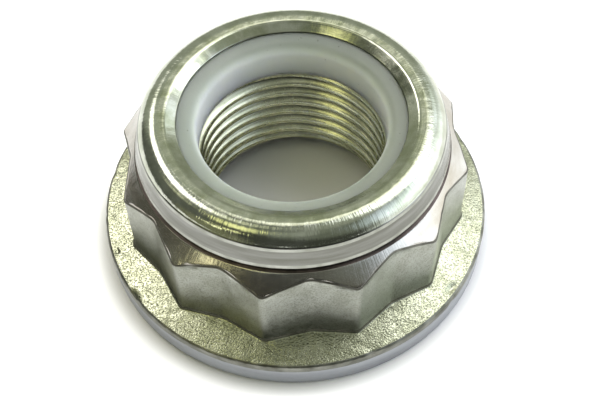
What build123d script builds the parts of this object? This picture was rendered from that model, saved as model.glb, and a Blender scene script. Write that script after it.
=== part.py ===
from build123d import *
from math import cos, hypot, radians, sin, tan
import os

# Twelve-point flange lock nut, M20 x 1.5: a forged and turned steel body with a
# nylon locking ring crimped under the rolled lip of its collar.
# Millimetres. The origin is the centre of the bearing face, the thread axis is +Z
# and the locking ring is at the top. A corner of the twelve-point drive lies on +X.

# Flange
flange_diameter = 40.5
rim_height = 3.5
flange_slope = 12.5  # fall of the top face towards the rim, degrees
rim_top_radius = 0.35
rim_bottom_radius = 0.6

# Twelve-point drive
drive_points = 12
across_corners = 35.5
valley_depth = 1.5
corner_radius = 1.0
valley_radius = 3.0
drive_root_radius = 0.6
corner_tip_height = 11.9  # where the turned cone leaves a corner
chamfer_angle = 32  # of the cone, from the bearing face, degrees

# Ring round the foot of the collar, over a narrow groove
ring_diameter = 31.4
ring_height = 2.76
ring_taper = 0.725  # how much its radius falls from foot to top
ring_foot_radius = 0.25
groove_ledge = 0.05  # top of the drive, seen outside the ring
groove_height = 0.73
groove_depth = 0.65
groove_root_radius = 0.12

# Rolled collar: a bead whose lip turns in over the locking ring
bead_radius = 2.19
bead_seam_angle = 29  # where the bead meets the ring, degrees up from level
collar_wall = 1.2
lip_bend_radius = 3.88
lip_bend_angle = 28.5
lip_edge_radius = 0.2

# Thread, at its minor diameter, and the seat of the locking ring
thread_minor_diameter = 18.376
bearing_countersink_diameter = 23.4
seat_countersink_diameter = 19.2
countersink_angle = 45
seat_height = 12.8

# Locking ring
insert_bore_clearance = 0.212  # outside the thread's minor radius
insert_set_back = 0.1  # below the edge of the lip
insert_edge_radius = 0.5
insert_clearance = 0.03

# Sizes that follow from those above: flange, bore and countersinks
flange_radius = flange_diameter / 2
thread_radius = thread_minor_diameter / 2
core_height = rim_height + (flange_radius - thread_radius) * tan(radians(flange_slope))
bearing_mouth_radius = bearing_countersink_diameter / 2
bearing_mouth_depth = (bearing_mouth_radius - thread_radius) / tan(radians(countersink_angle))
seat_mouth_radius = seat_countersink_diameter / 2
seat_mouth_depth = (seat_mouth_radius - thread_radius) / tan(radians(countersink_angle))

# The cone that turns the corners of the drive, from the flange's radius inwards
chamfer_top_radius = ring_diameter / 2 + groove_ledge
chamfer_rise = tan(radians(chamfer_angle))
chamfer_foot_height = corner_tip_height - (flange_radius - across_corners / 2) * chamfer_rise
chamfer_top_height = corner_tip_height + (across_corners / 2 - chamfer_top_radius) * chamfer_rise

# Collar, from the top of the drive up: ring, bead, lip and the room under them
groove_radius = ring_diameter / 2 - groove_depth
ring_foot = (ring_diameter / 2, chamfer_top_height + groove_height)
ring_top = (ring_foot[0] - ring_taper, ring_foot[1] + ring_height)
seam_across = bead_radius * cos(radians(bead_seam_angle))
seam_up = bead_radius * sin(radians(bead_seam_angle))
bead_centre_radius = ring_top[0] - seam_across
bead_centre_height = ring_top[1] - seam_up
bead_top = bead_centre_height + bead_radius
cavity_radius = bead_centre_radius + bead_radius - collar_wall
lip_centre_height = bead_top - lip_bend_radius
lip_across = sin(radians(lip_bend_angle))
lip_up = cos(radians(lip_bend_angle))
insert_bore_radius = thread_radius + insert_bore_clearance
insert_top = lip_centre_height + lip_bend_radius * lip_up - insert_set_back


def lip_point(radius, gap=0.0):
    """Point of the lip's end face, at a radius of its bend and a gap clear of it."""
    return (
        bead_centre_radius - radius * lip_across - gap * lip_up,
        lip_centre_height + radius * lip_up - gap * lip_across,
    )


def drive_outline():
    """The star of the drive: its corners and valleys in turn."""
    outline = []
    for turn in range(2 * drive_points):
        radius = across_corners / 2 - (valley_depth if turn % 2 else 0)
        angle = radians(turn * 180 / drive_points)
        outline.append((radius * cos(angle), radius * sin(angle)))
    return outline


def distance_out(shape):
    """Distance of a shape's centre from the thread axis."""
    centre = shape.center()
    return hypot(centre.X, centre.Y)


def corner_near(section, point):
    """Corner of a half section nearest to a radius and a height, in the section's own plane."""
    return section.vertices().sort_by_distance(point)[0]


def circles(part, radius):
    """Circular edges of a part that have a radius, from the lowest up."""
    edges = part.edges().filter_by(GeomType.CIRCLE)
    return edges.filter_by(lambda edge: abs(edge.radius - radius) < 0.01).sort_by(Axis.Z)


def cavity_section(inner_radius, top, gap):
    """Half section of the room under the lip, drawn a gap clear of the steel."""
    wall = cavity_radius - gap
    under_bead = bead_radius - collar_wall - gap
    under_lip = lip_bend_radius - collar_wall - gap
    crown = (bead_centre_radius, bead_centre_height + under_bead)
    lip_foot = lip_point(under_lip, gap)
    mouth_radius = (top + gap * lip_across - lip_centre_height) / lip_up
    with BuildSketch(Plane.XZ) as section:
        with BuildLine():
            Polyline((inner_radius, seat_height), (wall, seat_height), (wall, bead_centre_height))
            RadiusArc((wall, bead_centre_height), crown, -under_bead)
            RadiusArc(crown, lip_foot, -under_lip)
            Polyline(
                lip_foot,
                lip_point(mouth_radius, gap),
                (inner_radius, top),
                (inner_radius, seat_height),
            )
        make_face()
    return section.sketch


# Drive: a star-shaped prism, turned to a cone at its top
with BuildPart() as drive:
    with BuildSketch() as star:
        with BuildLine():
            Polyline(*drive_outline(), close=True)
        make_face()
        rings = star.vertices().group_by(distance_out)
        fillet(rings[-1], corner_radius)
        rings = star.vertices().group_by(distance_out)
        fillet(rings[0], valley_radius)
    extrude(amount=chamfer_top_height)
    with BuildSketch(Plane.XZ):
        with BuildLine():
            Polyline(
                (0, 0),
                (flange_radius, 0),
                (flange_radius, chamfer_foot_height),
                (chamfer_top_radius, chamfer_top_height),
                (0, chamfer_top_height),
                close=True,
            )
        make_face()
    revolve(axis=Axis.Z, mode=Mode.INTERSECT)

# Steel body: flange, drive and rolled collar round one threaded bore
with BuildPart() as nut_body:
    with BuildSketch(Plane.XZ):
        with BuildLine():
            Polyline(
                (0, 0),
                (flange_radius, 0),
                (flange_radius, rim_height),
                (thread_radius, core_height),
                (0, core_height),
                close=True,
            )
        make_face()
    revolve(axis=Axis.Z)
    fillet(circles(nut_body, flange_radius)[0], rim_bottom_radius)
    fillet(circles(nut_body, flange_radius)[-1], rim_top_radius)

    add(drive.part)
    root_edges = (
        nut_body.edges()
        .filter_by(GeomType.LINE, reverse=True)
        .filter_by(lambda edge: rim_height < edge.center().Z < core_height)
        .filter_by(lambda edge: distance_out(edge) < across_corners / 2)
    )
    fillet(root_edges, drive_root_radius)

    # Ring and collar, still solid inside
    with BuildSketch(Plane.XZ) as collar_section:
        with BuildLine():
            lip_tip = lip_point(lip_bend_radius)
            crown = (bead_centre_radius, bead_top)
            Polyline(
                (0, core_height),
                (groove_radius, core_height),
                (groove_radius, ring_foot[1]),
                ring_foot,
                ring_top,
            )
            RadiusArc(ring_top, crown, -bead_radius)
            RadiusArc(crown, lip_tip, -lip_bend_radius)
            Polyline(lip_tip, (0, lip_tip[1]), (0, core_height))
        make_face()
        fillet(corner_near(collar_section, ring_foot), ring_foot_radius)
    revolve(axis=Axis.Z)
    fillet(circles(nut_body, groove_radius)[0], groove_root_radius)

    # Room for the locking ring, open through the lip
    revolve(cavity_section(0, bead_top, 0), axis=Axis.Z, mode=Mode.SUBTRACT)
    fillet(circles(nut_body, lip_tip[0]), lip_edge_radius)

    # Bore with a countersink at each end of the thread
    with BuildSketch(Plane.XZ):
        with BuildLine():
            Polyline(
                (0, 0),
                (bearing_mouth_radius, 0),
                (thread_radius, bearing_mouth_depth),
                (thread_radius, seat_height - seat_mouth_depth),
                (seat_mouth_radius, seat_height),
                (0, seat_height),
                close=True,
            )
        make_face()
    revolve(axis=Axis.Z, mode=Mode.SUBTRACT)

# Locking ring, filling the room under the lip
with BuildPart() as locking_insert:
    revolve(cavity_section(insert_bore_radius, insert_top, insert_clearance), axis=Axis.Z)
    fillet(circles(locking_insert, insert_bore_radius)[-1], insert_edge_radius)

nut_body.part.label = "nut_body"
locking_insert.part.label = "locking_insert"

os.makedirs("parts", exist_ok=True)
export_step(nut_body.part, "parts/nut_body.step")
export_step(locking_insert.part, "parts/locking_insert.step")
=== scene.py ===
"""Looks of the flange lock nut: steel body with its thread, and the nylon locking ring.

Section sizes are millimetres, as in the part's source, and the meshes are metres in the
frame's own axes. Angles are degrees: round the thread axis from +X towards +Y, and up from
level in a section.
"""

import bmesh
import bpy
import numpy as np
from mathutils import Matrix, Vector, noise


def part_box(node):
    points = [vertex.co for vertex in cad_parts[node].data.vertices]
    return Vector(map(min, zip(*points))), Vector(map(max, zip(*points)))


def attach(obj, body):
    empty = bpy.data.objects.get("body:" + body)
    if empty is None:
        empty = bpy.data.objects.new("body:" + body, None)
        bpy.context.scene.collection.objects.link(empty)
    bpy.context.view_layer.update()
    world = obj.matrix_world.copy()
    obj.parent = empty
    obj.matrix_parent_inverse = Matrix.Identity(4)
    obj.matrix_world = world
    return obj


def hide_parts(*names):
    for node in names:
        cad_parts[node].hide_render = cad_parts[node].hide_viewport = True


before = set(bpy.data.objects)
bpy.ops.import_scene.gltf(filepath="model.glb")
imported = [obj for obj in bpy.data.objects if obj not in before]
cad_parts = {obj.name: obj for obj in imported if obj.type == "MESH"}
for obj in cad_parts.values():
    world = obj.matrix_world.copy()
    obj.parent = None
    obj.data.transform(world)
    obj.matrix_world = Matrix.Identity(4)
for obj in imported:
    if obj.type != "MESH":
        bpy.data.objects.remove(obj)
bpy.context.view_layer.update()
body_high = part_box("nut_body")[1]

MM = 0.001

# Flange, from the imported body, and its forged edge
flange_radius = body_high[0] / MM
rim_height = 3.5
flange_slope = 12.5
rim_top_radius = 0.35
rim_top_margin = (0.385, 0.5)  # kept clear for that rounding on the flange and down the rim
rim_bottom_radius = 0.6

# Twelve-point drive, its valleys a little shallower at the root
drive_points = 12
across_corners = 35.5
valley_depth = 1.45
valley_depth_at_root = 1.2
corner_radius = 1.0
valley_radius = 3.0
corner_tip_height = 11.72
chamfer_angle = 43
drive_root_radius = 0.3
# Up to this angle the rounding at the facets' foot is painted dark, painted shade in that crease.
drive_root_finish_end = 240  # angle of that rounding from which it looks like the flange
facet_lean_start = 0.02  # share of the way to the outline at the root where a facet starts

# Broken edge between chamfer and facet, in from the facet and up from the sharp edge
chamfer_end_inset = 0.208
edge_start_inset = 0.152  # still on the chamfer
edge_steps = ((0.112, 0.088), (0.04, 0.016), (0.008, -0.032))
facet_start_drop = 0.096

# Ring over the groove, with rolled bands at its top and foot
ring_diameter = 31.4
ring_height = 2.76
ring_taper = 0.725
ring_foot_height = 13.88
ring_top_radius = 0.35
ring_top_inset = (0.195, 0.298)  # centre of that rounding, in and down from the ring's top
ring_top_angles = (50, 32, 25)  # where that rounding starts and ends, and where its band starts
ring_foot_radius = 0.3
ring_foot_inset = 0.36  # centre of that rounding, in from the ring's foot
ring_foot_angles = (-40, -60, -90)  # where its band ends, and where the undercut starts and ends
groove_ledge = 0.05
groove_depth = 0.65
groove_root_radius = 0.12

# Bead and rolled lip of the collar
bead_radius = 2.19
bead_seam_angle = 29
bead_end_angle = 31
collar_wall = 1.2
lip_bend_radius = 3.88
lip_bend_angle = 28.5
lip_edge_radius = 0.15
lip_shoulder = (0.75, 0.05)  # in from the crest and down from it
lip_shoulder_radius = 0.8
lip_drop = 0.68

# Thread M20 x 1.5, its countersinks and the seat of the locking ring
thread_pitch = 1.5
thread_minor_radius = 9.188
thread_major_radius = 10.0
thread_crest_half = 0.115  # half-widths of crest and root, as shares of the pitch
thread_root_half = 0.07
thread_start = -62
bearing_mouth_radius = 11.7
seat_mouth_radius = 9.6
seat_height = 12.8

# Locking ring
insert_bore_radius = 9.4
insert_set_back = 0.1
insert_edge_radius = 1.3
insert_top_fall = 0.5
insert_under_lip = 0.08  # how far its top reaches in under the lip
insert_clearance = 0.03

# Camera: height above the floor and turn round the nut in degrees, then millimetres
view_elevation = 54.3
view_turn = 10.9
view_roll = -1.8
view_distance = 118.18
view_right = 0.486
view_up = 1.8225
view_lens = 64.53

# How finely the meshes are cut: columns round the nut, then rows along its section
columns_per_half_point = 17
columns_crowding = 0.5
insert_columns = 288
bead_rows = 17
chamfer_rows = 12
facet_rows = 14
flange_rows = 18
mid_flank = 0.27  # of the thread, as a share of the pitch
thread_rows = np.array([
    0.0, thread_crest_half, mid_flank, 0.5 - thread_root_half,
    0.5, 0.5 + thread_root_half, 1 - mid_flank, 1 - thread_crest_half,
])
seat_row_margin = 1.0  # from the seat's wall to the row before it
weld_distance = 2e-7  # metres


# Section helpers

def sine(degrees):
    return np.sin(np.radians(degrees))


def cosine(degrees):
    return np.cos(np.radians(degrees))


def arc(centre, radius, start, end, count):
    """Points of a round stretch of a section, between two angles."""
    turns = np.linspace(start, end, count)
    return [(centre[0] + radius * cosine(t), centre[1] + radius * sine(t)) for t in turns]


def run(start, end, count):
    """Points of a straight stretch, without its last one."""
    start, end = np.array(start, dtype=float), np.array(end, dtype=float)
    return [tuple(start + (end - start) * step / count) for step in range(count)]


def rounded(before, corner, after, radius, count):
    """Points of the arc that rounds a corner between two straight stretches."""
    before, corner, after = (np.array(p, dtype=float) for p in (before, corner, after))
    inwards = (before - corner) / np.linalg.norm(before - corner)
    onwards = (after - corner) / np.linalg.norm(after - corner)
    half = np.arccos(np.clip(inwards @ onwards, -1, 1)) / 2
    middle = (inwards + onwards) / np.linalg.norm(inwards + onwards)
    centre = corner + middle * radius / np.sin(half)
    reach = np.pi / 2 - half
    side = np.array([-middle[1], middle[0]])
    if side @ inwards < 0:
        side = -side
    turns = np.linspace(reach, -reach, count)
    return [tuple(centre - middle * radius * np.cos(t) + side * radius * np.sin(t)) for t in turns]


# Columns round the nut: closer together at each corner and valley of the drive
half_point = 180 / drive_points
steps = np.arange(columns_per_half_point) / columns_per_half_point
half_angles = half_point * (steps - columns_crowding * np.sin(2 * np.pi * steps) / (2 * np.pi))
angles = np.concatenate([half_angles + half_point * turn for turn in range(2 * drive_points)])
column_count = len(angles)


def drive_radius(degrees, depth):
    """Radius of the drive's outline, corners and valleys rounded, for a depth of its valleys."""
    from_corner = np.abs((degrees + half_point) % (2 * half_point) - half_point)
    corner = np.array([across_corners / 2, 0.0])
    valley_reach = across_corners / 2 - depth
    valley = valley_reach * np.array([cosine(half_point), sine(half_point)])
    flat = (valley - corner) / np.linalg.norm(valley - corner)
    normal = np.array([flat[1], -flat[0]])
    straight = (corner @ normal) / (cosine(from_corner) * normal[0] + sine(from_corner) * normal[1])

    corner_half = np.arccos(-flat[0])
    corner_centre = across_corners / 2 - corner_radius / np.sin(corner_half)
    tip_end = corner + flat * corner_radius / np.tan(corner_half)
    tip_angle = np.degrees(np.arctan2(tip_end[1], tip_end[0]))
    inside = np.maximum(corner_radius**2 - (corner_centre * sine(from_corner)) ** 2, 0)
    tip = corner_centre * cosine(from_corner) + np.sqrt(inside)

    valley_half = np.arccos(-flat @ valley / valley_reach)
    valley_centre = valley_reach + valley_radius / np.sin(valley_half)
    dip_end = valley - flat * valley_radius / np.tan(valley_half)
    dip_angle = np.degrees(np.arctan2(dip_end[1], dip_end[0]))
    from_valley = half_point - from_corner
    inside = np.maximum(valley_radius**2 - (valley_centre * sine(from_valley)) ** 2, 0)
    dip = valley_centre * cosine(from_valley) - np.sqrt(inside)
    return np.where(from_corner < tip_angle, tip, np.where(from_corner > dip_angle, dip, straight))


# Heights and radii that follow from the sizes, as in the part's source
slope = np.tan(np.radians(flange_slope))
chamfer_rise = np.tan(np.radians(chamfer_angle))
chamfer_top_radius = ring_diameter / 2 + groove_ledge
chamfer_top_height = corner_tip_height + (across_corners / 2 - chamfer_top_radius) * chamfer_rise
groove_radius = ring_diameter / 2 - groove_depth
ring_foot = (ring_diameter / 2, ring_foot_height)
ring_top = (ring_foot[0] - ring_taper, ring_foot[1] + ring_height)
bead_centre = (
    ring_top[0] - bead_radius * cosine(bead_seam_angle),
    ring_top[1] - bead_radius * sine(bead_seam_angle),
)
bead_top = bead_centre[1] + bead_radius
cavity_radius = bead_centre[0] + bead_radius - collar_wall
lip_centre = (bead_centre[0], bead_top - lip_bend_radius)
lip_end_angle = 90 + lip_bend_angle
lip_tip = (lip_centre[0] + lip_bend_radius * cosine(lip_end_angle), bead_top - lip_drop)
lip_inner = (
    lip_centre[0] + (lip_bend_radius - collar_wall) * cosine(lip_end_angle),
    lip_centre[1] + (lip_bend_radius - collar_wall) * sine(lip_end_angle),
)
insert_top = lip_tip[1] - insert_set_back
insert_bore_top = insert_top - insert_top_fall


# Steel body

zone_names = [
    "inside", "lip", "bead", "band", "ring", "groove", "chamfer", "edge",
    "facet", "root", "flange", "rim_edge", "rim", "bearing", "thread",
]


class Section:
    """Rows of points round the nut, each with the zone whose material and unevenness it takes."""

    def __init__(self):
        self.radii, self.heights, self.zones = [], [], []

    def add(self, zone, points):
        """Add a row per point; its radius and height may differ from column to column."""
        for radius, height in points:
            self.radii.append(np.ones(column_count) * radius)
            self.heights.append(np.ones(column_count) * height)
            self.zones.append(zone)


def add_collar(rows):
    """Room for the locking ring, lip and bead."""
    # The inside rows take a dark colour, painted shade in the collar's hollow and under its lip.
    for reach in (seat_mouth_radius, cavity_radius - seat_row_margin, cavity_radius):
        rows.add("inside", [(reach, seat_height)])
    rows.add("inside", [(cavity_radius, (seat_height + bead_centre[1]) / 2)])
    rows.add("inside", arc(bead_centre, bead_radius - collar_wall, 0, 90, count=5)[:-1])
    rows.add("inside", arc(lip_centre, lip_bend_radius - collar_wall, 90, lip_end_angle, count=4))

    crest = (bead_centre[0], bead_top)
    shoulder = (crest[0] - lip_shoulder[0], crest[1] - lip_shoulder[1])
    tip = rounded(lip_inner, lip_tip, shoulder, lip_edge_radius, count=5)
    onto_lip = rounded(lip_tip, shoulder, crest, lip_shoulder_radius, count=7)
    # Painted shade: the lip's inner edge takes the dark inside colour, for the shade under the lip.
    rows.add("inside", tip[:3])
    rows.add("lip", tip[3:] + run(lip_tip, onto_lip[0], count=5)[1:] + onto_lip)
    rows.add("lip", run(onto_lip[-1], crest, count=5)[1:])
    rows.add("bead", arc(bead_centre, bead_radius, 90, bead_end_angle, count=bead_rows))


def add_ring(rows):
    """Ring between its two rolled bands, and the groove under it."""
    lean = np.degrees(np.arctan2(ring_taper, ring_height))
    top_start, top_end, band_start = ring_top_angles
    band_end, undercut_start, undercut_end = ring_foot_angles
    top_centre = (ring_top[0] - ring_top_inset[0], ring_top[1] - ring_top_inset[1])
    foot_centre = (ring_foot[0] - ring_foot_inset, ring_foot[1] + ring_foot_radius)
    top_band = arc(top_centre, ring_top_radius, band_start, lean, count=2)
    foot_band = arc(foot_centre, ring_foot_radius, lean, band_end, count=5)
    face = run(top_band[-1], foot_band[0], count=8)
    rows.add("ring", arc(top_centre, ring_top_radius, top_start, top_end, count=3))
    # Painted highlight: the rolled bands take a lighter zinc than the ring's face.
    rows.add("band", top_band)
    rows.add("ring", face[1:-1])
    rows.add("band", face[-1:] + foot_band)
    # Painted shade: the undercut and groove take a near-black colour for the shade under the ring.
    rows.add("groove", arc(foot_centre, ring_foot_radius, undercut_start, undercut_end, count=3))

    groove_top = (groove_radius, ring_foot[1])
    groove_foot = (groove_radius, chamfer_top_height)
    ledge_end = (chamfer_top_radius, chamfer_top_height)
    rows.add("groove", [groove_top, (groove_radius, chamfer_top_height + 2 * groove_root_radius)])
    rows.add("groove", rounded(groove_top, groove_foot, ledge_end, groove_root_radius, count=3))


def add_drive(rows):
    """Chamfer, its broken edge and the facets to their root; gives where the flange starts."""
    outline = drive_radius(angles, valley_depth)
    root_outline = drive_radius(angles, valley_depth_at_root)
    edge_height = corner_tip_height + (across_corners / 2 - outline) * chamfer_rise
    chamfer_end = outline - chamfer_end_inset
    for share in np.linspace(0, 1, chamfer_rows):
        reach = chamfer_top_radius + (chamfer_end - chamfer_top_radius) * share
        height = chamfer_top_height - (reach - chamfer_top_radius) * chamfer_rise
        rows.add("chamfer", [(reach, height)])
    for inwards, up in ((edge_start_inset, edge_start_inset * chamfer_rise), *edge_steps):
        rows.add("edge", [(outline - inwards, edge_height + up)])

    foot = root_outline + drive_root_radius
    foot_height = rim_height + (flange_radius - foot) * slope
    foot_height += drive_root_radius / cosine(flange_slope)
    for share in np.linspace(0, 1, facet_rows + 1)[:-1]:
        lean = facet_lean_start + (1 - facet_lean_start) * share
        reach = outline + (root_outline - outline) * lean
        height = edge_height - facet_start_drop + (foot_height - edge_height) * share
        rows.add("facet", [(reach, height)])
    for turn in np.linspace(180, 270 - flange_slope, 6):
        # Painted shade: the rounding takes the dark root colour until it turns into the flange.
        zone = "root" if turn < drive_root_finish_end else "flange"
        rows.add(zone, arc((foot, foot_height), drive_root_radius, turn, turn, count=1))
    return foot - drive_root_radius * sine(flange_slope)


def add_flange(rows, start):
    """Top of the flange outwards from a radius, its rim and the bearing face."""
    end = flange_radius - rim_top_margin[0]
    for share in np.linspace(0, 1, flange_rows + 2)[1:-1]:
        reach = start + (end - start) * share
        rows.add("flange", [(reach, rim_height + (flange_radius - reach) * slope)])

    apex = (0, rim_height + flange_radius * slope)
    top = (flange_radius, rim_height)
    bottom = (flange_radius, 0)
    rim_start = (flange_radius, rim_height - rim_top_margin[1])
    rim_end = (flange_radius, rim_bottom_radius)
    bearing_start = (flange_radius - 2 * rim_bottom_radius, 0)
    rows.add("rim_edge", rounded(apex, top, bottom, rim_top_radius, count=6))
    rows.add("rim", run(rim_start, rim_end, count=7)[1:])
    rows.add("rim", rounded(top, bottom, (0, 0), rim_bottom_radius, count=6))
    rows.add("bearing", run(bearing_start, (bearing_mouth_radius, 0), count=4))


def body_outside():
    """Rows from the seat of the locking ring out over the collar and down to the bearing face."""
    rows = Section()
    add_collar(rows)
    add_ring(rows)
    flange_start = add_drive(rows)
    add_flange(rows, flange_start)
    return rows


def thread_surface():
    """Radii and heights of the bore's rows, which climb with the thread round the nut."""
    turns = int(np.ceil(seat_height / thread_pitch)) + 2
    phases = np.concatenate([thread_rows + turn for turn in range(-1, turns)])[:, None]
    lead = (angles - thread_start) / 360
    heights = thread_pitch * (phases + lead - np.floor(lead.min()) - 1)
    heights = np.clip(heights, 0, seat_height)
    from_crest = np.minimum(phases % 1, 1 - phases % 1)
    flank = 0.5 - thread_root_half - thread_crest_half
    share = np.clip((from_crest - thread_crest_half) / flank, 0, 1)
    radii = thread_minor_radius + (thread_major_radius - thread_minor_radius) * share
    radii = np.maximum(radii, bearing_mouth_radius - heights)
    radii = np.maximum(radii, seat_mouth_radius - (seat_height - heights))
    return radii, heights


# Unevenness of each zone in mm: how far it is set back, then its waves, each with a height, a
# size round the nut and across it, a seed and the form that is made of the noise
unevenness = {
    "lip": (0.008, [(0.010, 0.8, 2.2, 6.1, "swell")]),
    "bead": (0.008, [(0.010, 0.55, 2.6, 2.2, "swell")]),
    "band": (0.02, [(0.022, 1.3, 2.5, 3.9, "swell")]),
    "ring": (0.02, [(0.022, 1.3, 2.5, 3.9, "swell")]),
    "chamfer": (0.01, [(0.010, 5.0, 0.45, 6.6, "swell")]),
    "edge": (0.0, [(-0.13, 0.9, 4.0, 2.6, "nicks"), (-0.05, 2.7, 6.0, 9.3, "folds")]),
    "facet": (0.035, [(0.03, 2.6, 3.4, 1.7, "swell"), (0.012, 0.8, 0.9, 5.2, "swell")]),
    "flange": (0.03, [(0.03, 0.7, 0.5, 3.1, "swell"), (-0.02, 2.2, 1.5, 8.4, "folds")]),
    "rim_edge": (0.01, [(-0.09, 0.9, 3.0, 4.4, "fewer nicks")]),
    "rim": (0.02, [(0.012, 2.8, 1.4, 7.7, "swell")]),
}
fewer_nicks_level = 0.05  # noise that has to be passed before those nicks start
noise_forms = {
    "swell": lambda wave: wave,
    "folds": np.abs,
    "nicks": lambda wave: np.maximum(wave, 0),
    "fewer nicks": lambda wave: np.maximum(wave - fewer_nicks_level, 0),
}

# Radius in mm at which the sizes of noise round the nut are true
noise_radius = 16


def ripple(points, along, across, seed):
    """Noise between about -1 and 1 at points in mm, by its size round the nut and across it."""
    wave = []
    for x, y, z in points:
        radius = np.hypot(x, y)
        turned = noise_radius / (radius * along)
        place = (x * turned + seed, y * turned, (radius + z) / across)
        wave.append(noise.noise(Vector(place)))
    return np.array(wave)


def relief(zone, points):
    """How far the points of a row stand out of the plain surface, in mm and mostly inwards."""
    set_back, waves = unevenness.get(zone, (0.0, []))
    lift = np.full(len(points), -set_back)
    for height, along, across, seed, form in waves:
        lift += height * noise_forms[form](ripple(points, along, across, seed))
    return lift


# Dents and nicks: angle round the nut, radius, height, half-width along and across, depth
dents = [
    (-134.2, 20.12, 3.6, 0.75, 0.30, 0.16),
    (-131.8, 20.20, 3.3, 0.35, 0.30, 0.10),
    (-26.8, 19.55, 3.65, 0.55, 0.32, 0.16),
    (-24.9, 19.80, 3.6, 0.30, 0.20, 0.10),
    (-28.9, 20.25, 2.6, 0.50, 0.28, 0.10),
    (-58.0, 20.20, 3.4, 0.40, 0.25, 0.14),
    (-54.9, 20.25, 3.2, 0.30, 0.20, 0.10),
    (-115.0, 17.15, 12.2, 0.60, 0.25, 0.22),
    (-12.0, 19.20, 3.7, 0.35, 0.25, 0.10),
    (-41.0, 18.90, 3.8, 0.25, 0.18, 0.08),
    (-96.5, 20.20, 3.4, 0.45, 0.20, 0.08),
    (-150.5, 19.60, 3.6, 0.30, 0.22, 0.09),
    (60.0, 20.20, 3.4, 0.60, 0.25, 0.12),
    (128.0, 19.70, 3.6, 0.40, 0.25, 0.10),
    (178.0, 20.20, 3.3, 0.50, 0.22, 0.10),
]


def dent_depth(points):
    """Depth of the dents at points in mm."""
    depth = np.zeros(len(points))
    radius = np.hypot(points[:, 0], points[:, 1])
    turn = np.degrees(np.arctan2(points[:, 1], points[:, 0]))
    for angle, reach, height, along, across, deep in dents:
        round_off = np.radians((turn - angle + 180) % 360 - 180) * radius
        off = np.hypot(radius - reach, points[:, 2] - height)
        depth += deep * np.exp(-((round_off / along) ** 2) - (off / across) ** 2)
    return depth


def new_piece(name, points, faces, zones):
    """An object of one closed, smooth mesh, from points in mm and the material of each face."""
    mesh = bpy.data.meshes.new(name)
    mesh.from_pydata((np.array(points) * MM).tolist(), [], faces)
    mesh.polygons.foreach_set("material_index", zones)
    shape = bmesh.new()
    shape.from_mesh(mesh)
    bmesh.ops.remove_doubles(shape, verts=shape.verts, dist=weld_distance)
    bmesh.ops.dissolve_degenerate(shape, edges=shape.edges, dist=weld_distance)
    bmesh.ops.recalc_face_normals(shape, faces=shape.faces)
    shape.to_mesh(mesh)
    shape.free()
    mesh.shade_smooth()
    piece = bpy.data.objects.new(name, mesh)
    bpy.context.scene.collection.objects.link(piece)
    return piece


def build_body():
    """The steel body: its outside rows, bent by unevenness and dents, and those of its bore."""
    rows = body_outside()
    bore_radii, bore_heights = thread_surface()
    radii = np.vstack([np.array(rows.radii), bore_radii])
    heights = np.vstack([np.array(rows.heights), bore_heights])
    zones = rows.zones + ["thread"] * len(bore_radii)
    outer_count, row_count = len(rows.zones), len(radii)

    grid = np.stack([radii * cosine(angles), radii * sine(angles), heights], axis=-1)
    onwards = np.roll(grid, -1, axis=1) - np.roll(grid, 1, axis=1)
    downwards = np.gradient(grid, axis=0)
    outwards = np.cross(downwards, onwards)[:outer_count]
    outwards /= np.linalg.norm(outwards, axis=-1, keepdims=True)
    for row in range(outer_count):
        lift = relief(zones[row], grid[row]) - dent_depth(grid[row])
        grid[row] += outwards[row] * lift[:, None]

    def index(row, column):
        """Number of a point. After a full turn, the bore's rows join those one pitch higher."""
        if column < column_count:
            return row * column_count + column
        if row < outer_count:
            return row * column_count
        return min(row + len(thread_rows), row_count - 1) * column_count

    faces, face_zones = [], []
    for row in range(row_count):
        above = (row + 1) % row_count
        for column in range(column_count):
            faces.append([
                index(row, column),
                index(row, column + 1),
                index(above, column + 1),
                index(above, column),
            ])
            face_zones.append(zone_names.index(zones[row]))
    return new_piece("steel_body", grid.reshape(-1, 3), faces, face_zones)


# Locking ring

def build_insert():
    """The nylon locking ring, its top falling a little towards the bore and rounded into it."""
    wall = cavity_radius - insert_clearance
    under_bead = bead_radius - collar_wall - insert_clearance
    under_lip = lip_bend_radius - collar_wall - insert_clearance
    bore_foot = (insert_bore_radius, seat_height)
    bore_top = (insert_bore_radius, insert_bore_top)
    mouth = (lip_tip[0] + insert_under_lip, insert_top)
    edge = rounded(bore_foot, bore_top, mouth, insert_edge_radius, count=11)
    section = run(bore_foot, edge[0], count=10) + edge[:-1]
    section += run(edge[-1], mouth, count=6) + [mouth]
    section += arc(lip_centre, under_lip, lip_end_angle, 90, count=4)[:-1]
    section += arc(bead_centre, under_bead, 90, 0, count=5)
    section += run((wall, seat_height), bore_foot, count=4)

    points, faces = [], []
    for row, (radius, height) in enumerate(section):
        above = (row + 1) % len(section)
        for column in range(insert_columns):
            turn = column * 360 / insert_columns
            beside = (column + 1) % insert_columns
            points.append((radius * cosine(turn), radius * sine(turn), height))
            faces.append([
                row * insert_columns + column,
                row * insert_columns + beside,
                above * insert_columns + beside,
                above * insert_columns + column,
            ])
    return new_piece("nylon_ring", points, faces, [0] * len(faces))


# Materials

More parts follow.
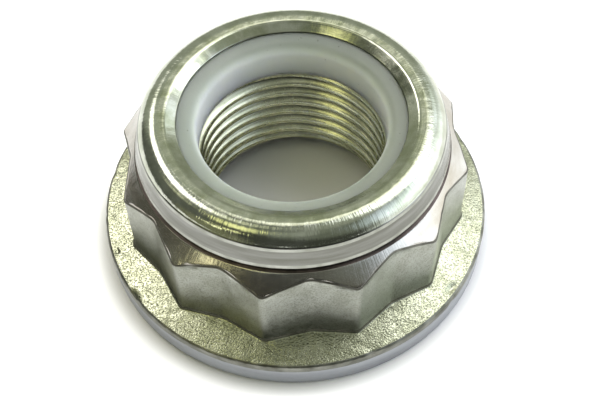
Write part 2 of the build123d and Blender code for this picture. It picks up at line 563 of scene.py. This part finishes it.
class Graph:
    """A node tree whose calls take sockets or plain values and give back a new node's output."""

    def __init__(self, tree):
        self.nodes, self.links = tree.nodes, tree.links

    def feed(self, node, inputs):
        """Join a node's inputs to sockets, or set them to values."""
        for name, value in inputs.items():
            if isinstance(value, bpy.types.NodeSocket):
                self.links.new(value, node.inputs[name])
            else:
                node.inputs[name].default_value = value

    def math(self, operation, first, second):
        node = self.nodes.new("ShaderNodeMath")
        node.operation = operation
        self.feed(node, {0: first, 1: second})
        return node.outputs[0]

    def vector_math(self, operation, inputs, output="Vector"):
        node = self.nodes.new("ShaderNodeVectorMath")
        node.operation = operation
        self.feed(node, inputs)
        return node.outputs[output]

    def place(self, output="Object"):
        return self.nodes.new("ShaderNodeTexCoord").outputs[output]

    def split(self, vector):
        node = self.nodes.new("ShaderNodeSeparateXYZ")
        self.links.new(vector, node.inputs[0])
        return node.outputs["X"], node.outputs["Y"], node.outputs["Z"]

    def combine(self, inputs):
        node = self.nodes.new("ShaderNodeCombineXYZ")
        self.feed(node, inputs)
        return node.outputs[0]

    def stretch(self, value, source, target=(0.0, 1.0), smooth=False):
        """A value carried from one range to another and held at its ends."""
        node = self.nodes.new("ShaderNodeMapRange")
        if smooth:
            node.interpolation_type = "SMOOTHSTEP"
        self.feed(node, {"Value": value, "From Min": source[0], "From Max": source[1]})
        self.feed(node, {"To Min": target[0], "To Max": target[1]})
        return node.outputs["Result"]

    def two_tone(self, share, dark, light):
        node = self.nodes.new("ShaderNodeValToRGB")
        node.color_ramp.elements[0].color = (*dark, 1)
        node.color_ramp.elements[1].color = (*light, 1)
        self.links.new(share, node.inputs["Fac"])
        return node.outputs["Color"]

    def mix(self, share, first, second):
        node = self.nodes.new("ShaderNodeMix")
        node.data_type = "RGBA"
        self.feed(node, {"Factor": share, "A": first, "B": second})
        return node.outputs["Result"]

    def noise(self, place, scale, detail, contrast):
        """Noise between 0 and 1, stretched between two of its values for contrast."""
        node = self.nodes.new("ShaderNodeTexNoise")
        self.feed(node, {"Vector": place, "Scale": scale, "Detail": detail})
        return self.stretch(node.outputs["Fac"], contrast)

    def grains(self, size, detail, contrast=(0.0, 1.0)):
        """Even noise of a size in mm."""
        return self.noise(self.place(), 1 / (size * MM), detail, contrast)

    def marks(self, along, across, detail, contrast=(0.0, 1.0)):
        """Noise stretched round the nut, by its size in mm round it and across."""
        radius, flat, height = self.axis_radius()
        turned = self.vector_math("NORMALIZE", {0: flat})
        spread = self.vector_math("SCALE", {0: turned, "Scale": noise_radius / along})
        risen = self.math("MULTIPLY", self.math("ADD", radius, height), 1 / (across * MM))
        place = self.vector_math("ADD", {0: spread, 1: self.combine({"Z": risen})})
        return self.noise(place, 1.0, detail, contrast)

    def axis_radius(self):
        """Distance from the thread axis, the flat part of the place and its height."""
        x, y, height = self.split(self.place())
        flat = self.combine({"X": x, "Y": y})
        return self.vector_math("LENGTH", {0: flat}, "Value"), flat, height

    def bumps(self, heights):
        """Normal bent by heights between 0 and 1, each with its size in mm."""
        normal = None
        for height, size in heights:
            node = self.nodes.new("ShaderNodeBump")
            self.feed(node, {"Height": height, "Distance": size * MM})
            if normal:
                self.links.new(normal, node.inputs["Normal"])
            normal = node.outputs["Normal"]
        return normal


def new_material(name):
    """A material with its node graph and its shader."""
    material = bpy.data.materials.new(name)
    material.use_nodes = True
    return material, Graph(material.node_tree), material.node_tree.nodes["Principled BSDF"]


# Zinc: sizes in mm of what its looks share, and the noise values that give each its contrast
patch_size = 1.8
patch_contrast = (0.36, 0.64)
streak_length = 9.0
streak_contrast = (0.34, 0.66)
line_width = 0.16
scuff_size = (0.17, 1.6)  # round the nut and across it
gloss_size = 0.6
gloss_contrast = (0.3, 0.7)
pit_depth = 0.1  # as a share of a pit's size
pit_colour = (0.09, 0.09, 0.06, 1)
# Painted shade for the bottom of the thread, between its crests
painted_thread_root_shade = (0.10, 0.10, 0.08, 1)


def zinc(
    name, light, dark, roughness, grain, lines=0.0, scuffs=0.0, streaks=0.0, pits=None, root=None
):
    """Zinc-plated steel in two near colours.

    Roughness is a pair for the dark and light parts. Grain is the size and height of an even
    unevenness, lines the height of turned lines round the nut, scuffs that of short marks
    across them, all in mm. The colours change over streaks of a width round the nut, or else
    in patches. Pits is the size of dark grains and the noise they start and end at; root
    gives two radii between which painted shade darkens the bottom of a thread.
    """
    material, graph, shader = new_material(name)
    if streaks:
        patches = graph.marks(streak_length, streaks, detail=4, contrast=streak_contrast)
    else:
        patches = graph.grains(patch_size, detail=5, contrast=patch_contrast)
    colour = graph.two_tone(patches, dark, light)
    heights = [(graph.grains(grain[0], detail=3), grain[1])]
    if pits:
        hollows = graph.grains(pits[0], detail=2, contrast=pits[1:])
        colour = graph.mix(hollows, colour, pit_colour)
        heights.append((hollows, -pit_depth * pits[0]))
    # Painted shade: the thread is darkened out towards its root, where shade falls under the
    # crests.
    if root:
        depth = graph.stretch(graph.axis_radius()[0], (root[0] * MM, root[1] * MM))
        colour = graph.mix(depth, colour, painted_thread_root_shade)
    if lines:
        heights.append((graph.marks(streak_length, line_width, detail=3), lines))
    if scuffs:
        heights.append((graph.marks(*scuff_size, detail=2), scuffs))
    gloss = graph.grains(gloss_size, detail=3, contrast=gloss_contrast)
    graph.feed(shader, {
        "Base Color": colour,
        "Metallic": 1.0,
        "Roughness": graph.stretch(gloss, (0.0, 1.0), roughness),
        "Normal": graph.bumps(heights),
    })
    return material


# Nylon: dark and light tone of its walls, lighter than its top as painted light on the bore, and of
# its top, the heights in mm from the top of its bore that they blend between, then the sizes in mm
# of clouds, specks and grain
painted_light_wall_tones = ((0.86, 0.93, 0.84), (0.92, 0.97, 0.90))
top_tones = ((0.30, 0.325, 0.285), (0.345, 0.365, 0.325))
tone_blend = (-0.7, 0.2)
cloud_size = 4
cloud_contrast = (0.3, 0.7)
speck_size = 0.45
speck_contrast = (0.72, 0.80)
speck_colour = (0.12, 0.13, 0.10, 1)
nylon_grain_size = 0.35
nylon_grain_height = 0.015
nylon_soak = 6  # mm that light travels in it


def nylon():
    """Milky nylon that light soaks through, its bore walls painted lighter than its top as painted
    light, so the bore is nearly as bright as the top.
    """
    material, graph, shader = new_material("nylon")
    clouds = graph.grains(cloud_size, detail=3, contrast=cloud_contrast)
    near_top = graph.stretch(
        graph.split(graph.place())[2],
        ((insert_bore_top + tone_blend[0]) * MM, (insert_bore_top + tone_blend[1]) * MM),
        smooth=True,
    )
    # Painted light: the bore walls take far lighter tones than the top, for light that does not
    # reach them.
    painted_light_walls = graph.two_tone(clouds, *painted_light_wall_tones)
    tops = graph.two_tone(clouds, *top_tones)
    specks = graph.grains(speck_size, detail=2, contrast=speck_contrast)
    grain = graph.grains(nylon_grain_size, detail=3)
    graph.feed(shader, {
        "Base Color": graph.mix(specks, graph.mix(near_top, painted_light_walls, tops), speck_colour),
        "Roughness": 0.42,
        "Subsurface Weight": 1.0,
        "Subsurface Scale": nylon_soak * MM,
        "Subsurface Radius": (1.0, 1.0, 0.8),
        "Normal": graph.bumps([(grain, nylon_grain_height)]),
    })
    return material


zinc_looks = {
    # Painted shade inside the collar and at the lip's inner edge.
    "inside": zinc(
        "zinc_inside_painted_shade", light=(0.12, 0.125, 0.10), dark=(0.08, 0.085, 0.06),
        roughness=(0.45, 0.55), grain=(0.3, 0.005),
    ),
    "lip": zinc(
        "zinc_rolled", light=(0.50, 0.51, 0.44), dark=(0.35, 0.37, 0.27),
        roughness=(0.09, 0.16), grain=(0.30, 0.004), lines=0.003, scuffs=0.004,
    ),
    "bead": zinc(
        "zinc_bead", light=(0.51, 0.525, 0.46), dark=(0.39, 0.41, 0.33),
        roughness=(0.09, 0.16), grain=(0.30, 0.009), lines=0.004, scuffs=0.016,
    ),
    # Painted highlight on the ring's rolled bands, lighter than its face.
    "band": zinc(
        "zinc_band_painted_highlight", light=(0.38, 0.385, 0.35), dark=(0.25, 0.255, 0.22),
        roughness=(0.18, 0.26), grain=(0.3, 0.006), lines=0.008,
    ),
    "ring": zinc(
        "zinc_ring", light=(0.24, 0.24, 0.225), dark=(0.15, 0.15, 0.13),
        roughness=(0.16, 0.24), grain=(0.4, 0.004), lines=0.012, streaks=0.5,
    ),
    # Painted shade in the groove under the ring.
    "groove": zinc(
        "zinc_groove_painted_shade", light=(0.12, 0.095, 0.09), dark=(0.06, 0.05, 0.045),
        roughness=(0.4, 0.5), grain=(0.3, 0.01), lines=0.01,
    ),
    "chamfer": zinc(
        "zinc_turned", light=(0.54, 0.53, 0.51), dark=(0.34, 0.305, 0.255),
        roughness=(0.16, 0.25), grain=(0.3, 0.007), lines=0.010, scuffs=0.012, streaks=0.20,
    ),
    "edge": zinc(
        "zinc_edge", light=(0.18, 0.175, 0.15), dark=(0.10, 0.095, 0.08),
        roughness=(0.4, 0.55), grain=(0.3, 0.02),
    ),
    "facet": zinc(
        "zinc_forged", light=(0.385, 0.395, 0.355), dark=(0.31, 0.32, 0.275),
        roughness=(0.28, 0.38), grain=(0.18, 0.022), scuffs=0.012, pits=(0.16, 0.44, 1.0),
    ),
    # Painted shade in the crease at the foot of the facets.
    "root": zinc(
        "zinc_root_painted_shade", light=(0.14, 0.14, 0.11), dark=(0.08, 0.08, 0.06),
        roughness=(0.4, 0.55), grain=(0.2, 0.04),
    ),
    "flange": zinc(
        "zinc_grained", light=(0.41, 0.417, 0.315), dark=(0.315, 0.323, 0.228),
        roughness=(0.10, 0.17), grain=(0.20, 0.024), pits=(0.17, 0.46, 0.80),
    ),
    "rim_edge": zinc(
        "zinc_rim_edge", light=(0.24, 0.24, 0.21), dark=(0.10, 0.10, 0.08),
        roughness=(0.3, 0.45), grain=(0.3, 0.03),
    ),
    "rim": zinc(
        "zinc_rim", light=(0.37, 0.385, 0.415), dark=(0.28, 0.29, 0.315),
        roughness=(0.34, 0.44), grain=(0.28, 0.022), lines=0.008, streaks=1.2,
    ),
    "bearing": zinc(
        "zinc_bearing", light=(0.46, 0.46, 0.44), dark=(0.38, 0.38, 0.35),
        roughness=(0.3, 0.4), grain=(0.3, 0.01), lines=0.012,
    ),
    # Its root radii paint shade into the bottom of the thread.
    "thread": zinc(
        "zinc_thread", light=(0.80, 0.80, 0.61), dark=(0.62, 0.63, 0.46),
        roughness=(0.20, 0.28), grain=(0.3, 0.008), scuffs=0.006, root=(9.4, 9.95),
    ),
}

steel_body = build_body()
for zone in zone_names:
    steel_body.data.materials.append(zinc_looks[zone])
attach(steel_body, "root")
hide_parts("nut_body")

nylon_ring = build_insert()
nylon_ring.data.materials.append(nylon())
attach(nylon_ring, "root")
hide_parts("locking_insert")


# Floor: half its side in metres, where its glow starts and ends, in mm from the flange's edge,
# the glow left out nearer the nut as a painted shadow, and the strength of that glow
floor_half = 1.2
glow_fade_round_painted_shadow = (-0.3, 2.4)
glow_strength = 0.62


def build_floor():
    """White floor; what the camera and the metal see of it is brighter away from the nut, a painted
    shadow over its real one.
    """
    mesh = bpy.data.meshes.new("floor")
    signs = ((-1, -1), (1, -1), (1, 1), (-1, 1))
    mesh.from_pydata([(x * floor_half, y * floor_half, 0) for x, y in signs], [], [(0, 1, 2, 3)])
    floor = bpy.data.objects.new("floor", mesh)
    bpy.context.scene.collection.objects.link(floor)

    material, graph, shader = new_material("pale_floor")
    # Painted shadow: the glow fades out near the nut, on top of the floor's real shadow.
    glow_past_painted_shadow = graph.stretch(
        graph.axis_radius()[0],
        ((flange_radius + glow_fade_round_painted_shadow[0]) * MM, (flange_radius + glow_fade_round_painted_shadow[1]) * MM),
        target=(0.0, glow_strength),
        smooth=True,
    )
    path = graph.nodes.new("ShaderNodeLightPath")
    seen = path.outputs["Is Camera Ray"]
    for ray in ("Is Glossy Ray", "Is Transmission Ray"):
        seen = graph.math("MAXIMUM", seen, path.outputs[ray])
    graph.feed(shader, {
        "Base Color": (0.93, 0.91, 0.93, 1),
        "Roughness": 0.9,
        "Specular IOR Level": 0.1,
        "Emission Color": (1.0, 1.0, 1.0, 1),
        "Emission Strength": graph.math("MULTIPLY", seen, glow_past_painted_shadow),
    })
    mesh.materials.append(material)


build_floor()


# Light: a soft room with round patches of brightness. Each has a colour, the azimuth and
# elevation of its middle, its inner and outer half-width in degrees, and its strength
room_patches = [
    ((0.92, 0.97, 1.0), 18, -5, 2, 60, 2.5),
    ((0.72, 0.83, 1.0), -4, 35, 8, 31, 1.15),
    ((0.96, 0.98, 1.0), 52, 57, 5, 21, 4.2),
    ((0.85, 0.92, 1.0), 30, 40, 4, 15, 1.8),
    ((0.85, 0.92, 1.0), 58, 31, 3, 11, 1.3),
    ((0.97, 1.0, 0.88), 20, 74, 2, 22, 0.3),
    ((1.0, 0.98, 0.80), 106, 65, 3, 8, 1.2),
    ((1.0, 0.98, 0.86), 88, 55, 2, 9, 1.8),
    ((1.0, 0.98, 0.88), 103, 60, 2, 8, 1.1),
    ((1.0, 0.98, 0.93), 138, 42, 4, 11, 3.4),
    ((1.0, 0.98, 0.93), 147, 51, 4, 12, 3.4),
    ((1.0, 0.98, 0.93), 160, 58, 4, 12, 3.4),
    ((1.0, 1.0, 0.66), 166, 74, 3, 10, 0.9),
    ((1.0, 0.98, 0.45), -134, 60, 4, 13, 2.0),
    ((1.0, 0.98, 0.50), -124, 38, 2, 6, 2.4),
    ((1.0, 0.98, 0.70), -176, 45, 2, 7, 1.2),
    ((1.0, 0.98, 0.60), -133, 27, 1, 5, 4.2),
    ((1.0, 1.0, 0.50), -132, 6, 2, 30, 0.22),
    ((0.92, 1.0, 0.82), 10, 64, 44, 62, 0.17),
    ((0.93, 1.0, 0.78), 106, 13, 40, 50, 0.38),
    ((0.95, 1.0, 0.86), -79, 66, 2, 16, 0.20),
    ((0.93, 1.0, 0.78), 178, 38, 4, 48, 0.10),
]
room_colour = (0.092, 0.097, 0.085)


def build_room():
    """World whose light depends only on direction: the room's colour and its patches."""
    world = bpy.data.worlds.new("room")
    bpy.context.scene.world = world
    world.use_nodes = True
    graph = Graph(world.node_tree)
    direction = graph.place("Generated")
    light = room_colour
    for colour, azimuth, elevation, inner, outer, strength in room_patches:
        level = cosine(elevation)
        middle = (level * cosine(azimuth), level * sine(azimuth), sine(elevation))
        towards = graph.vector_math("DOT_PRODUCT", {0: direction, 1: middle}, "Value")
        fade = graph.stretch(towards, (cosine(outer), cosine(inner)), (0.0, strength), smooth=True)
        glow = graph.vector_math("SCALE", {0: colour, "Scale": fade})
        light = graph.vector_math("ADD", {0: light, 1: glow})
    graph.links.new(light, graph.nodes["Background"].inputs["Color"])


build_room()


# Camera

def build_camera():
    """Camera of the photograph, looking down at the nut and a little rolled."""
    right = Vector((cosine(view_turn), sine(view_turn), 0))
    outwards = Vector((sine(view_turn), -cosine(view_turn), 0))
    up = -outwards * sine(view_elevation) + Vector((0, 0, cosine(view_elevation)))
    back = outwards * cosine(view_elevation) + Vector((0, 0, sine(view_elevation)))
    rolled_right = right * cosine(view_roll) + up * sine(view_roll)
    rolled_up = up * cosine(view_roll) - right * sine(view_roll)
    place = (rolled_right * view_right + rolled_up * view_up + back * view_distance) * MM
    data = bpy.data.cameras.new("camera")
    data.sensor_width = 36
    data.lens = view_lens
    data.clip_start = 10 * MM
    camera = bpy.data.objects.new("camera", data)
    axes = Matrix((rolled_right, rolled_up, back)).transposed()
    camera.matrix_world = Matrix.Translation(place) @ axes.to_4x4()
    bpy.context.scene.collection.objects.link(camera)
    bpy.context.scene.camera = camera


build_camera()
bpy.context.scene.view_settings.view_transform = "Standard"
